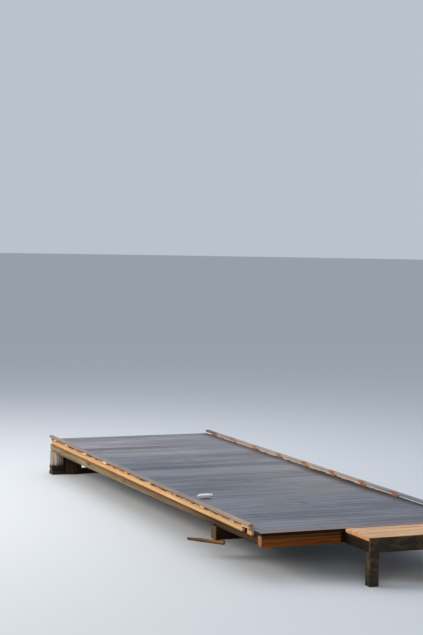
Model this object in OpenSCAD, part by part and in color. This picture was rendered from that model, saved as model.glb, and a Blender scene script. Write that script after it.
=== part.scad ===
// Wooden jetty: a board deck on three tapered log stringers, with raised edge rails,
// posts on a sill log under its lake end, a bearer near the shore and a low step.
// X runs across the deck, Y runs from the shore to the lake, Z is up, and the water is at Z = 0.

/* [Deck] */
// Length of a deck board, which is the width of the deck
deck_w = 2050; // [1600:10:2600]
// Height of the deck's top over the water
deck_z = 420; // [400:5:440]
// Length of the deck from the shore end to the lake end
deck_l = 6395; // [5200:5:7000]
// Width of a deck board
board_w = 120; // [90:1:145]
// Thickness of a deck board
board_t = 28; // [22:1:34]
// Gap between two deck boards, before they are spread evenly over the length
board_gap = 5.5; // [3:0.5:9]

/* [Edge rails] */
// Width of the edge strip and of the blocks on it
strip_w = 28; // [22:1:34]
// Height of the strip that covers the board ends
strip_h = 48; // [40:1:52]
// How far the strip stands above the deck
strip_rise = 0; // [0:1:6]
// How far the strip stops short of the deck's shore end
strip_set_back = 360; // [300:5:400]
// How far the strip stops short of the deck's lake end
strip_lake_back = 110; // [60:5:140]
// Thickness of the blocks under the rail
block_t = 16; // [10:1:26]
// Length of a block
block_l = 100; // [80:5:130]
// Distance from the deck's lake end to the middle of the block nearest the lake
block_end = 235; // [215:5:255]
// Distance from the deck's lake end to the middle of the next block of the left rail
left_block = 708; // [500:1:800]
// Distance from one block of the left rail to the next
left_pitch = 727; // [500:1:900]
// Distance from the deck's lake end to the middle of the next block of the right rail
right_block = 850; // [500:10:900]
// Distance from one block of the right rail to the next
right_pitch = 690; // [500:10:900]
// Width of the rail
rail_w = 42; // [32:1:48]
// Thickness of the rail
rail_t = 28; // [20:1:36]
// How far the rail stops short of the deck's shore end
rail_set_back = 217; // [190:1:240]
// Length of the short rail piece at the lake end
rail_patch_l = 250; // [240:5:260]
// Length of the spacer under the rail's shore end, which reaches back to the strip
end_spacer_l = 160; // [155:5:200]
// Distance from the deck's shore end to the short piece of strip under that spacer
end_piece_y = 153; // [100:1:160]
// Length of the short piece of strip
end_piece_l = 98; // [90:2:120]

/* [Log stringers] */
// Diameter of a stringer log at the lake end
stringer_d = 164; // [150:1:176]
// Diameter of a stringer log at the shore end
stringer_tip_d = 118; // [100:1:130]
// Depth hewn off the top of a stringer, where the boards lie
stringer_flat = 8; // [5:1:12]
// Clearance between an outer stringer and the edge strip
stringer_clear = 5; // [4:1:20]

/* [Shore end] */
// Width of the beam under the shore end of the deck
shore_beam_w = 78; // [60:2:110]
// Height of the beam under the shore end of the deck
shore_beam_h = 98; // [80:1:110]
// Distance from the deck's shore end to the middle of the bearer
bearer_y = 1100; // [700:10:1600]
// Width of the bearer
bearer_w = 125; // [90:1:150]
// Height of the bearer
bearer_h = 128; // [110:1:150]
// Diameter of the poles that the bearer's ends lie on, at the thick end
sill_d = 46; // [36:1:60]
// Diameter of a pole at its thin end
sill_tip_d = 28; // [20:1:29]
// Length of a pole
sill_l = 380; // [340:10:480]
// How far the middle of a pole lies beyond the bearer, along the pole
sill_slide = 52; // [0:1:70]
// Turn of the poles from the line of the jetty
sill_turn = 42; // [30:1:50]
// How far outside the board ends a pole crosses the bearer's middle line
sill_out = 20; // [0:5:30]
// Depth hewn off the top of a pole, where the bearer lies
sill_flat = 8; // [5:1:10]

/* [Lake end] */
// Diameter of the sill log that the posts stand on
lake_sill_d = 150; // [130:1:170]
// Height of the sill log's hewn top over the water
lake_sill_rise = 60; // [40:1:70]
// Depth hewn off the top of the sill log
lake_sill_flat = 8; // [5:1:12]
// Distance from the deck's lake end to the middle of the sill log
lake_sill_y = 115; // [115:1:160]
// How far the sill log runs on past the board ends
lake_sill_tail = 40; // [0:1:48]
// Thickness of the packing between the sill log and a post
pad_t = 50; // [40:1:80]
// Length of the packing
pad_l = 150; // [110:1:150]
// Width of the packing
pad_w = 110; // [70:1:120]
// Diameter of a post
post_d = 165; // [150:1:175]
// How far an outer post stands out from the middle of its stringer
post_out = 32; // [0:1:40]
// Depth of the saddles for the stringers, in the bearer
saddle = 18; // [10:1:24]
// Depth of the saddles for the stringers, in the posts
post_saddle = 45; // [20:1:50]
// Diameter of the stub beside an outer post
stub_d = 230; // [200:1:230]
// Clearance between the underside of a stringer and the top of a stub
stub_clear = 2; // [2:1:40]
// Slant of the stub's top, down and away from the post
stub_slant = 7; // [0:1:12]
// Gap between an outer post and its stub
stub_gap = 2; // [2:1:20]
// Clearance in a saddle
notch_gap = 0.3; // [0.2:0.1:0.6]

/* [Step] */
// Distance from the left board ends to the left end of the step
step_x = 800; // [500:10:1000]
// Number of boards in the step
step_n = 4; // [2:1:5]
// Width of a step board
step_board_w = 108; // [95:1:145]
// Thickness of a step board
step_board_t = 32; // [26:1:40]
// Gap between two step boards, and between the step and the deck
step_gap = 3.5; // [2:0.5:8]
// Thickness of the step's front beam, which rises to the top of the boards
step_front_t = 28; // [22:1:48]
// Thickness of the step's joists
step_joist_t = 48; // [40:1:60]
// Height of the step's joists
step_joist_h = 98; // [90:1:125]
// Side of the square posts under the step's front beam
step_post_s = 90; // [70:1:98]

/* [Mooring cleat] */
// Length of the cleat over its two horns
cleat_l = 160; // [140:2:200]
// Diameter of the bar at its middle
cleat_d = 35; // [28:1:36]
// Diameter of the horn tips
cleat_tip_d = 27; // [20:1:28]
// Diameter of a leg
cleat_leg_d = 22; // [16:1:26]
// Length of the foot plate
cleat_foot_l = 96; // [84:2:110]
// Width of the foot plate
cleat_foot_w = 46; // [36:1:60]
// Thickness of the foot plate
cleat_foot_t = 5; // [4:0.5:8]
// Height of the bar's middle over the deck
cleat_rise = 31; // [30:1:45]
// Distance from the deck's shore end to the middle of the cleat
cleat_y = 1790; // [1500:5:2000]
// Distance from the left board ends to the middle of the cleat
cleat_x = 195; // [150:5:300]

/* [Hidden] */

BAYS = 6;
board_n = round((deck_l + board_gap) / (board_w + board_gap));
board_pitch = (deck_l - board_w) / (board_n - 1);
step_l = step_n * (step_board_w + step_gap) + step_front_t;
near_y = step_l / 2 - deck_l / 2;
far_y = near_y + deck_l;
edge_x = deck_w / 2;

under_deck = deck_z - board_t;
strip_top = deck_z + strip_rise;
rail_z = strip_top + block_t;
block_x = edge_x + strip_w / 2;
rail_x = edge_x + strip_w - rail_w / 2;
rail_y = near_y + rail_set_back;
strip_bottom = strip_top - strip_h;

stringer_y = near_y + shore_beam_w;
stringer_l = far_y - stringer_y;
stringer_zc = under_deck + stringer_flat - stringer_d / 2;
stringer_reach = sqrt(pow(stringer_d / 2, 2) - pow(max(strip_bottom - stringer_zc, 0), 2));
stringer_x = edge_x - stringer_reach - stringer_clear;
stringer_taper = (stringer_d - stringer_tip_d) / 2;
stringer_slope = atan(stringer_taper / stringer_l);
bearer_top = stringer_bottom(near_y + bearer_y) + saddle;

lake_y = far_y - lake_sill_y;
post_x = [-stringer_x - post_out, 0, stringer_x + post_out];
stub_x = stringer_x + post_out - post_d / 2 - stub_gap - stub_d / 2;
stub_h = stringer_bottom(lake_y) - stub_clear - stub_d / 2 * tan(stub_slant);

step_left = step_x - edge_x;
step_w = edge_x - step_left;
step_front_y = near_y - step_l;
step_under = deck_z - step_board_t;
step_bottom = step_under - step_joist_h;
joist_x = [step_left + step_joist_t / 2, (step_left + edge_x) / 2, edge_x - step_joist_t / 2];

old_log = "#6e6455";
grey_board = "#787f8a";
fresh_pine = "#d9a066";
brown_beam = "#5a3820";
dark_timber = "#3a352e";
ROUND = 48;

// Height of a stringer's underside at a distance along the jetty
function stringer_bottom(y) =
    under_deck + stringer_flat - stringer_tip_d
    - 2 * stringer_taper * (y - stringer_y) / stringer_l;

// Box that is centred across X and starts at the given Y and Z
module beam(x, y, z, w, l, h) {
    translate([x - w / 2, y, z]) cube([w, l, h]);
}

// Round log along X, centred on X = 0
module log_x(l, d) {
    translate([-l / 2, 0, 0]) rotate([0, 90, 0]) cylinder(h = l, d = d, $fn = ROUND);
}

// Boards of one bay of the deck
module deck_bay(bay) {
    first = floor((bay - 1) * board_n / BAYS);
    last = floor(bay * board_n / BAYS) - 1;
    color(grey_board)
    for (i = [first : last])
        beam(0, near_y + i * board_pitch, under_deck, deck_w, board_w, board_t);
}

// Tapered log, before its top is hewn, grown all round by a clearance
module stringer_log(x, clear) {
    over = stringer_taper * stringer_d / stringer_l;
    translate([x, stringer_y, under_deck + stringer_flat - stringer_tip_d / 2])
    rotate([-90 - stringer_slope, 0, 0])
    translate([0, 0, -stringer_d])
    cylinder(h = stringer_l + 2 * stringer_d, r1 = stringer_tip_d / 2 - over + clear,
             r2 = stringer_d / 2 + over + clear, $fn = ROUND);
}

// Stringer, with its top hewn level for the boards
module stringer(x) {
    color(old_log)
    intersection() {
        stringer_log(x, 0);
        beam(x, stringer_y, 0, 2 * stringer_d, stringer_l, under_deck);
    }
}

// Strip along the board ends, and a short piece of it nearer the shore
module edge_strip(side) {
    y = near_y + strip_set_back;
    color(fresh_pine) {
        beam(side * block_x, y, strip_bottom, strip_w, far_y - strip_lake_back - y, strip_h);
        beam(side * block_x, near_y + end_piece_y, strip_bottom, strip_w, end_piece_l, strip_h);
    }
}

// One of the blocks that lift the rail, at a distance from the deck's lake end
module rail_block(side, back) {
    beam(side * block_x, far_y - back - block_l / 2, strip_top, strip_w, block_l, block_t);
}

// Spacers between the strip and the rail, with a long one under the rail's shore end
module rail_blocks(side) {
    first = side < 0 ? left_block : right_block;
    pitch = side < 0 ? left_pitch : right_pitch;
    color(fresh_pine) {
        rail_block(side, block_end);
        for (back = [first : pitch : deck_l - strip_set_back - block_l / 2])
            rail_block(side, back);
        beam(side * block_x, rail_y, strip_top, strip_w, end_spacer_l, block_t);
    }
}

// Top rail, a long piece and a short one that meet on the block nearest the lake
module rail(side) {
    patch_y = far_y - rail_patch_l;
    color(fresh_pine) {
        beam(side * rail_x, rail_y, rail_z, rail_w, patch_y - rail_y - board_gap, rail_t);
        beam(side * rail_x, patch_y, rail_z, rail_w, rail_patch_l, rail_t);
    }
}

// Beam under the first boards at the shore end
module shore_beam() {
    color(brown_beam)
    beam(0, near_y, under_deck - shore_beam_h, deck_w, shore_beam_w, shore_beam_h);
}

// Bearer across the jetty, with a saddle for each stringer
module bearer_beam() {
    color(brown_beam)
    difference() {
        beam(0, near_y + bearer_y - bearer_w / 2, bearer_top - bearer_h, deck_w, bearer_w, bearer_h);
        for (x = [-stringer_x, 0, stringer_x])
            stringer_log(x, notch_gap);
    }
}

// Tapered pole under one end of the bearer, with its top hewn level
module sill_log(side) {
    top = bearer_top - bearer_h;
    color(old_log)
    intersection() {
        translate([side * (edge_x + sill_out), near_y + bearer_y, top + sill_flat - sill_d / 2])
        rotate([0, 0, -side * sill_turn])
        translate([0, sill_slide - sill_l / 2, 0])
        rotate([-90, 0, 0])
        cylinder(h = sill_l, d1 = sill_d, d2 = sill_tip_d, $fn = ROUND);
        beam(side * edge_x, near_y, 0, 2 * deck_w, 2 * bearer_y, top);
    }
}

// Sill log at the water, before its top is hewn, grown all round by a clearance
module lake_sill_round(clear) {
    translate([0, lake_y, lake_sill_rise + lake_sill_flat - lake_sill_d / 2])
    log_x(deck_w + 2 * lake_sill_tail + 2 * clear, lake_sill_d + 2 * clear);
}

// Sill log across the lake end, as far down as the water
module lake_sill_log() {
    color(old_log)
    intersection() {
        lake_sill_round(0);
        beam(0, lake_y - lake_sill_d, 0, 2 * deck_w, 2 * lake_sill_d, lake_sill_rise);
    }
}

// Packing on the sill log, under the posts
module lake_packing() {
    color(dark_timber)
    for (x = post_x)
        beam(x, lake_y - pad_w / 2, lake_sill_rise, pad_l, pad_w, pad_t);
}

// Round post on its packing, with a saddle that cups the stringer
module lake_post(x, log) {
    foot = lake_sill_rise + pad_t;
    color(old_log)
    difference() {
        translate([x, lake_y, foot])
        cylinder(h = stringer_bottom(lake_y) + post_saddle - foot, d = post_d, $fn = ROUND);
        stringer_log(log, notch_gap);
    }
}

// Stub beside an outer post, with its foot coped over the sill log and its top cut on a slant
module lake_stub(side) {
    color(old_log)
    difference() {
        translate([side * stub_x, lake_y, 0]) cylinder(h = deck_z / 2 + stub_d / 2, d = stub_d, $fn = ROUND);
        translate([side * stub_x, lake_y, stub_h])
        rotate([0, side * stub_slant, 0])
        beam(0, -stub_d, 0, 2 * stub_d, 2 * stub_d, deck_z);
        intersection() {
            lake_sill_round(notch_gap);
            beam(0, lake_y - lake_sill_d, -1, 2 * deck_w, 2 * lake_sill_d, lake_sill_rise + 1 + notch_gap);
        }
    }
}

// Boards of the step, level with the deck
module step_boards() {
    color(fresh_pine)
    for (i = [1 : step_n])
        beam((step_left + edge_x) / 2, near_y - i * (step_board_w + step_gap), step_under,
             step_w, step_board_w, step_board_t);
}

// Beam along the front of the step
module step_front_beam() {
    color(dark_timber)
    beam((step_left + edge_x) / 2, step_front_y, step_bottom, step_w, step_front_t, deck_z - step_bottom);
}

// Joist from the front beam to the shore beam
module step_joist(x) {
    y = step_front_y + step_front_t;
    color(dark_timber)
    beam(x, y, step_bottom, step_joist_t, near_y - y, step_joist_h);
}

// Short post from the ground to the front beam
module step_post(x) {
    color(dark_timber)
    beam(x, step_front_y, 0, step_post_s, step_post_s, step_bottom);
}

// Cleat for a mooring rope: a bar with two horns, on two legs and a foot plate
module mooring_cleat() {
    leg_x = cleat_foot_l / 4;
    horn_l = (cleat_l - cleat_foot_l) / 2 + leg_x - cleat_tip_d / 2;
    color("#dfe0da")
    translate([cleat_x - edge_x, near_y + cleat_y, deck_z]) {
        beam(0, -cleat_foot_w / 2, 0, cleat_foot_l, cleat_foot_w, cleat_foot_t);
        for (x = [-leg_x, leg_x])
            translate([x, 0, cleat_foot_t / 2])
            cylinder(h = cleat_rise - cleat_foot_t / 2, d = cleat_leg_d, $fn = ROUND);
        translate([0, 0, cleat_rise]) {
            log_x(2 * leg_x, cleat_d);
            for (turn = [0, 180])
                rotate([0, 0, turn]) translate([leg_x, 0, 0]) rotate([0, 90, 0]) {
                    cylinder(h = horn_l, d1 = cleat_d, d2 = cleat_tip_d, $fn = ROUND);
                    translate([0, 0, horn_l]) sphere(d = cleat_tip_d, $fn = ROUND);
                }
        }
    }
}

for (i = [1 : BAYS])
    deck_bay(i);
stringer(-stringer_x);  // stringer_left
stringer(0);  // stringer_middle
stringer(stringer_x);  // stringer_right
edge_strip(-1);  // edge_strip_left
edge_strip(1);  // edge_strip_right
rail_blocks(-1);  // rail_blocks_left
rail_blocks(1);  // rail_blocks_right
rail(-1);  // rail_left
rail(1);  // rail_right
shore_beam();
bearer_beam();
sill_log(-1);  // sill_log_left
sill_log(1);  // sill_log_right
lake_sill_log();
lake_packing();
lake_post(post_x[0], -stringer_x);  // lake_post_left
lake_post(post_x[1], 0);  // lake_post_middle
lake_post(post_x[2], stringer_x);  // lake_post_right
lake_stub(-1);  // lake_stub_left
lake_stub(1);  // lake_stub_right
step_boards();
step_front_beam();
step_joist(joist_x[0]);  // step_joist_left
step_joist(joist_x[1]);  // step_joist_middle
step_joist(joist_x[2]);  // step_joist_right
step_post(step_left + step_post_s / 2);  // step_post_left
step_post(joist_x[1]);  // step_post_middle
step_post(edge_x - step_post_s / 2);  // step_post_right
mooring_cleat();
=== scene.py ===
import math
import random

import bmesh
import bpy
import numpy as np
from mathutils import Matrix, Vector, noise


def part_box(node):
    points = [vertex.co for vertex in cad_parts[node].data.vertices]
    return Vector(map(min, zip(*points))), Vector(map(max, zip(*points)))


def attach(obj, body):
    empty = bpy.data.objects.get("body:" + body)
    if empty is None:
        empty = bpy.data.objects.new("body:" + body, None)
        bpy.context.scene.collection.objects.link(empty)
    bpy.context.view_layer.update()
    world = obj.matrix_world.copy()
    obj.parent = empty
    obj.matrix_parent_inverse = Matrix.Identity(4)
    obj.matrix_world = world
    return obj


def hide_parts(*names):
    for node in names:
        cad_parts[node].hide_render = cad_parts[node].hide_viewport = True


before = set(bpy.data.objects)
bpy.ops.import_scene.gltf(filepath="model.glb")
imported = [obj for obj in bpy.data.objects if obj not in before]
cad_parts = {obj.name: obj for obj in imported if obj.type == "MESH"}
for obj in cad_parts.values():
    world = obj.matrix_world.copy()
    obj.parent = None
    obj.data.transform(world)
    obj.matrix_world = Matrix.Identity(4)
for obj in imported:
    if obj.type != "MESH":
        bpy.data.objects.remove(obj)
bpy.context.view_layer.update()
scene = bpy.context.scene

# Sizes, in metres, from the solids where they show them
deck_low, deck_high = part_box("deck_bay_1")
strip_low, strip_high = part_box("edge_strip_right")
rail_low, rail_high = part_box("rail_right")
step_low, step_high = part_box("step_boards")
stringer_low, stringer_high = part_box("stringer_right")
SIDES = ((-1, "left"), (1, "right"))
IN_A_ROW = ("left", "middle", "right")

NEAR_Y, FAR_Y = deck_low.y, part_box("deck_bay_6")[1].y
EDGE_X, UNDER_DECK, DECK_Z = deck_high.x, deck_low.z, deck_high.z
BOARD_W, BOARD_N, BAYS = 0.120, 51, 6
BOARD_PITCH = (FAR_Y - NEAR_Y - BOARD_W) / (BOARD_N - 1)

STRINGER_X, STRINGER_Y = (stringer_low.x + stringer_high.x) / 2, stringer_low.y
STRINGER_ROWS = (-STRINGER_X, 0.0, STRINGER_X)
STRINGER_D, STRINGER_TIP_D, STRINGER_FLAT = 0.164, 0.118, 0.008

STRIP_Y, END_PIECE_L = NEAR_Y + 0.360, 0.098
RAIL_JOINT_Y, RAIL_JOINT_GAP = FAR_Y - 0.250, 0.0055
BLOCK_L, END_SPACER_L = 0.100, 0.160
BLOCKS_BEHIND, JOINT_BLOCK, PALEST_BLOCK = 8, 0.235, ("left", 3)
# Each side's second block, as far as it lies from the far end, and the pitch from there on
BLOCK_STEPS = {"left": (0.708, 0.727), "right": (0.850, 0.690)}

BEAM_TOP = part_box("shore_beam")[1].z
BEARER_Y = NEAR_Y + 1.100
POLE_D, POLE_TIP_D, POLE_L = 0.046, 0.028, 0.380
POLE_TURN, POLE_SLIDE, POLE_OUT = 42.0, 0.052, 0.020

SILL_D, SILL_FLAT, PAD_L = 0.150, 0.008, 0.150
STEP_BOARD_W, STEP_BOARD_N, STEP_BOARD_GAP = 0.108, 4, 0.0035

# Nails and screws: their places, and how deep a head is set into each surface
BOARD_NAILS, STEP_SCREWS = (0.028, 0.092), (0.026, 0.082)
STEP_SCREW_IN, FRONT_SCREW_Z = 0.024, (0.325, 0.385)
STRIP_NAIL_N, STRIP_NAIL_FIRST, STRIP_NAIL_PITCH = 12, 0.12, 0.49
DECK_SET, RAIL_SET, STRIP_SET, STEP_SET, FRONT_SET = 0.0014, 0.0022, 0.0014, 0.0012, 0.0016
HEAD_SIDES, HEAD_CROWN = 10, 0.62

# Attributes that the materials read
GRAIN, WEAR, TONE, CUT = "grain", "wear", "tone", "cut"

# A timber's axis, the two axes across each, and the way up
ALONG_X, ALONG_Y, UPRIGHT = 0, 1, 2
ACROSS = ((1, 2), (0, 2), (0, 1))
UP = (0, 0, 1)


def block_places(word):
    """Middles of the rail blocks along one side, from the far end on."""
    second, pitch = BLOCK_STEPS[word]
    return [FAR_Y - JOINT_BLOCK] + [FAR_Y - second - k * pitch for k in range(BLOCKS_BEHIND)]


# Node trees
class Value:
    """A number, vector or colour in a node tree. Arithmetic on a number adds Math nodes."""

    def __init__(self, socket):
        self.socket, self.tree = socket, socket.id_data

    def __add__(self, other):
        return calc("ADD", self, other)

    def __sub__(self, other):
        return calc("SUBTRACT", self, other)

    def __rsub__(self, other):
        return calc("SUBTRACT", other, self)

    def __mul__(self, other):
        return calc("MULTIPLY", self, other)

    def __truediv__(self, other):
        return calc("DIVIDE", self, other)

    def __abs__(self):
        return calc("ABSOLUTE", self)

    def step(self, start, end, most=1.0, least=0.0):
        """A smooth step, from least at start to most at end. The end may lie below the start."""
        inputs = {"Value": self, "From Min": start, "From Max": end, "To Min": least, "To Max": most}
        return result(self.tree, "ShaderNodeMapRange", inputs, interpolation_type="SMOOTHSTEP")

    def near(self, reach, *places):
        """1 at each of the places, and 0 further off than reach."""
        off = abs(self - places[0])
        for place in places[1:]:
            off = calc("MINIMUM", off, abs(self - place))
        return off.step(reach, reach / 4)


def feed(node, inputs):
    """Links each input that is given a Value, and sets the others."""
    for key, value in inputs.items():
        if isinstance(value, Value):
            node.id_data.links.new(value.socket, node.inputs[key])
        else:
            node.inputs[key].default_value = value


def put(tree, kind, inputs, **settings):
    """Adds a node with its settings and inputs."""
    node = tree.nodes.new(kind)
    for key, value in settings.items():
        setattr(node, key, value)
    feed(node, inputs)
    return node


def result(tree, kind, inputs, output=0, **settings):
    """Adds a node and returns one of its outputs."""
    return Value(put(tree, kind, inputs, **settings).outputs[output])


def calc(operation, *values):
    """The result of a Math node."""
    tree = next(value.tree for value in values if isinstance(value, Value))
    return result(tree, "ShaderNodeMath", dict(enumerate(values)), operation=operation)


def highest(*values):
    """The highest of some values at each spot."""
    found = values[0]
    for value in values[1:]:
        found = calc("MAXIMUM", found, value)
    return found


def mix(share, a, b, blend="MIX"):
    """Colour a with a share of colour b. The Mix node's colours are its inputs 6 and 7 and output 2."""
    inputs = {0: share, 6: a, 7: b}
    return result(share.tree, "ShaderNodeMix", inputs, 2, data_type="RGBA", blend_type=blend)


def split(value, kind="ShaderNodeSeparateXYZ"):
    """The three parts of a vector, or of a colour with the other kind of node."""
    return [Value(socket) for socket in put(value.tree, kind, {0: value}).outputs]


def stretch(vector, scale, shift=(0, 0, 0)):
    """A vector scaled and then shifted along each axis."""
    inputs = {"Vector": vector, "Scale": scale, "Location": shift}
    return result(vector.tree, "ShaderNodeMapping", inputs)


def cloud(vector, scale, detail=3, rough=0.55, shift=(0, 0, 0)):
    """A noise value about 0.5, its pattern finer along an axis with a larger scale."""
    place = stretch(vector, scale, shift)
    inputs = {"Vector": place, "Scale": 1.0, "Detail": detail, "Roughness": rough}
    return result(vector.tree, "ShaderNodeTexNoise", inputs, "Fac")


def ragged(value, noisy, amount):
    """A value moved by a noise value about 0.5, so that an edge drawn by it is ragged."""
    return value + (noisy - 0.5) * amount


def attribute(tree, name, output="Fac"):
    """An attribute of the piece."""
    return result(tree, "ShaderNodeAttribute", {}, output, attribute_name=name, attribute_type="GEOMETRY")


def object_place(tree):
    """The place on the piece, which is the place in the frame."""
    return result(tree, "ShaderNodeTexCoord", {}, "Object")


def bumped(height, distance, strength=1.0):
    """The normal of a surface with a height."""
    inputs = {"Height": height, "Strength": strength, "Distance": distance}
    return result(height.tree, "ShaderNodeBump", inputs)


def group(name, inputs, outputs, build):
    """A node group that puts out numbers. Each input has a default, or None where it is a vector.
    build takes the inputs and returns the outputs, both in order."""
    tree = bpy.data.node_groups.new(name, "ShaderNodeTree")
    for label, default in inputs.items():
        kind = "NodeSocketVector" if default is None else "NodeSocketFloat"
        socket = tree.interface.new_socket(label, in_out="INPUT", socket_type=kind)
        if default is not None:
            socket.default_value = default
    for label in outputs:
        tree.interface.new_socket(label, in_out="OUTPUT", socket_type="NodeSocketFloat")
    entry = tree.nodes.new("NodeGroupInput").outputs
    made = build(*(Value(entry[label]) for label in inputs))
    put(tree, "NodeGroupOutput", dict(zip(outputs, made)))
    return tree


def use(tree, node_group, **inputs):
    """A node group's outputs by name, in order. An underscore in an input's name stands for a space."""
    node = put(tree, "ShaderNodeGroup", {key.replace("_", " "): value for key, value in inputs.items()},
               node_tree=node_group)
    return {socket.name: Value(socket) for socket in node.outputs}


# Effects that the woods share. Grain is the place along a timber, and across it from its heart.
def build_rings(grain, ring_width, waviness):
    """Rings about the heart, each pale at first and then dark, with a sharp end."""
    wobble = cloud(grain, (1.3, 9, 9), detail=2)
    _, across, up = split(grain)
    radius = calc("SQRT", across * across + up * up) + (wobble - 0.5) * waviness
    phase = calc("FRACT", radius / ring_width)
    return [phase.step(0.35, 0.9) * phase.step(1.0, 0.93)]


def build_fibre(grain):
    """Noise at three widths, drawn out along the grain."""
    fine = cloud(grain, (7, 420, 420), detail=2, rough=0.6)
    broad = cloud(grain, (1.6, 70, 70))
    patches = cloud(grain, (2.2, 6, 6), rough=0.6)
    return [fine, broad, patches]


def build_cracks(grain, width):
    """Thin lines along the grain, in some places only."""
    line = cloud(grain, (1.1, 52, 52), detail=1.5, rough=0.4)
    here = cloud(grain, (1.9, 14, 14), detail=1, shift=(3.1, 0.7, 1.9))
    return [abs(line - 0.5).step(width, 0.0) * here.step(0.5, 0.6)]


def build_knots(grain, amount):
    """The cores of knots and the wood around them, in a share of the cells."""
    place = stretch(grain, (2.6, 8.5, 8.5), (0.35, 0.2, 0.6))
    cells = put(grain.tree, "ShaderNodeTexVoronoi", {"Vector": place, "Scale": 1.0, "Randomness": 0.9})
    draw = split(Value(cells.outputs["Color"]), "ShaderNodeSeparateColor")[0]
    chosen = calc("GREATER_THAN", draw, 1.0 - amount)
    off = Value(cells.outputs["Distance"])
    return [off.step(0.17, 0.10) * chosen, off.step(0.30, 0.12) * chosen]


def build_relief(fine, broad, latewood, cracks, knots):
    """How high the weathered surface stands."""
    return [fine * 0.35 + latewood * 0.5 + broad * 0.5 - cracks * 2.2 + knots * 0.7]


RINGS = group("Growth rings", {"Grain": None, "Ring Width": 0.004, "Waviness": 0.01}, ["Latewood"],
              build_rings)
FIBRE = group("Wood fibre", {"Grain": None}, ["Fine", "Broad", "Patches"], build_fibre)
CRACKS = group("Drying cracks", {"Grain": None, "Width": 0.02}, ["Cracks"], build_cracks)
KNOTS = group("Knots", {"Grain": None, "Amount": 0.3}, ["Core", "Rim"], build_knots)
RELIEF = group("Wood relief", {"Fine": 0.5, "Broad": 0.5, "Latewood": 0.0, "Cracks": 0.0, "Knots": 0.0},
               ["Height"], build_relief)


# Materials. Colours are sRGB, 0 to 255, and places are metres in the frame.
def rgb(*values):
    """An sRGB colour as the linear colour that a socket takes."""
    linear = [((v / 255 + 0.055) / 1.055) ** 2.4 if v > 10 else v / 255 / 12.92 for v in values]
    return (*linear, 1.0)


def new_material(name):
    """A material and its Principled node."""
    material = bpy.data.materials.new(name)
    material.use_nodes = True
    return material, material.node_tree.nodes["Principled BSDF"]


# Specular levels of clean wood, of wood dirty all over, and of the dirtiest spots
CLEAN_SHINE, DIRTY_SHINE, LEAST_SHINE = 0.5, 0.1034, 0.03


class Look:
    """The colour and shine of one wood while they are built up, and what its touches may read."""

    def __init__(self, tree):
        self.place = object_place(tree)
        self.x, self.y, self.z = split(self.place)
        self.grain = attribute(tree, GRAIN, "Vector")
        self.wear, self.tone, self.cut = (attribute(tree, name) for name in (WEAR, TONE, CUT))
        self.fine, self.broad, self.patches = use(tree, FIBRE, Grain=self.grain).values()
        self.colour, self.shine = None, CLEAN_SHINE

    def blend(self, share, colour):
        """Mixes in a share of another colour."""
        self.colour = mix(share, self.colour, colour if isinstance(colour, Value) else rgb(*colour))

    def multiply(self, share, factors):
        """Multiplies the linear colour, by a share."""
        self.colour = mix(share, self.colour, factors, "MULTIPLY")

    def dull(self, share):
        """Takes the shine away where the share of dirt is high."""
        self.shine = share.step(0.0, 0.8, LEAST_SHINE, CLEAN_SHINE)

    def on_right(self, most=1.0):
        """Most of something on the right half of the jetty, and none on the left."""
        return self.x.step(-0.1, 0.1, most)


def wood(name, light, dark, late, crack, knot, worn, end, ring=0.004, late_share=0.4, crack_width=0.02,
         crack_share=0.9, knot_amount=0.3, tone_share=0.12, patch_share=0.5, rough=(0.6, 0.85), bump=0.001,
         touches=None):
    """A wood material from seven colours. touches(look) adds what this wood alone has."""
    material, shader = new_material(name)
    tree = material.node_tree
    look = Look(tree)
    rings = use(tree, RINGS, Grain=look.grain, Ring_Width=ring, Waviness=0.012)["Latewood"]
    cracks = use(tree, CRACKS, Grain=look.grain, Width=crack_width)["Cracks"]
    knots = use(tree, KNOTS, Grain=look.grain, Amount=knot_amount)
    look.colour = mix(look.broad.step(0.36, 0.64), rgb(*dark), rgb(*light))
    look.blend(look.patches.step(0.55, 0.35, patch_share), dark)
    look.blend(rings * late_share, late)
    look.blend(knots["Rim"] * 0.45, late)
    look.blend(knots["Core"] * 0.85, knot)
    look.multiply(look.fine.step(0.5, 0.3, 0.35), rgb(*dark))
    look.blend(look.cut * 0.85, mix(rings * 0.5, rgb(*end), rgb(*late)))
    look.blend(look.wear * look.patches.step(0.4, 0.6, 0.8, 0.25), worn)
    look.blend(cracks * crack_share, crack)
    if touches:
        touches(look)
    toned = result(tree, "ShaderNodeHueSaturation",
                   {"Color": look.colour, "Value": look.tone * tone_share + 1.0})
    height = use(tree, RELIEF, Fine=look.fine, Broad=look.broad, Latewood=rings, Cracks=cracks,
                 Knots=knots["Core"])["Height"]
    feed(shader, {"Base Color": toned, "Roughness": look.fine.step(0.25, 0.75, *rough),
                  "Specular IOR Level": look.shine, "Normal": bumped(height, bump)})
    return material


# Touches of single woods
def chances(tone):
    """Three random values for each timber."""
    hashed = result(tone.tree, "ShaderNodeTexWhiteNoise", {"W": tone}, "Color", noise_dimensions="1D")
    return split(hashed, "ShaderNodeSeparateColor")


# Where dark bands cross the deck, and where the dirt and painted shade along its right side is widest
DARK_BANDS, WIDEST_DIRT_AND_SHADE_Y = (2.36, 0.78), -0.5


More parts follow.
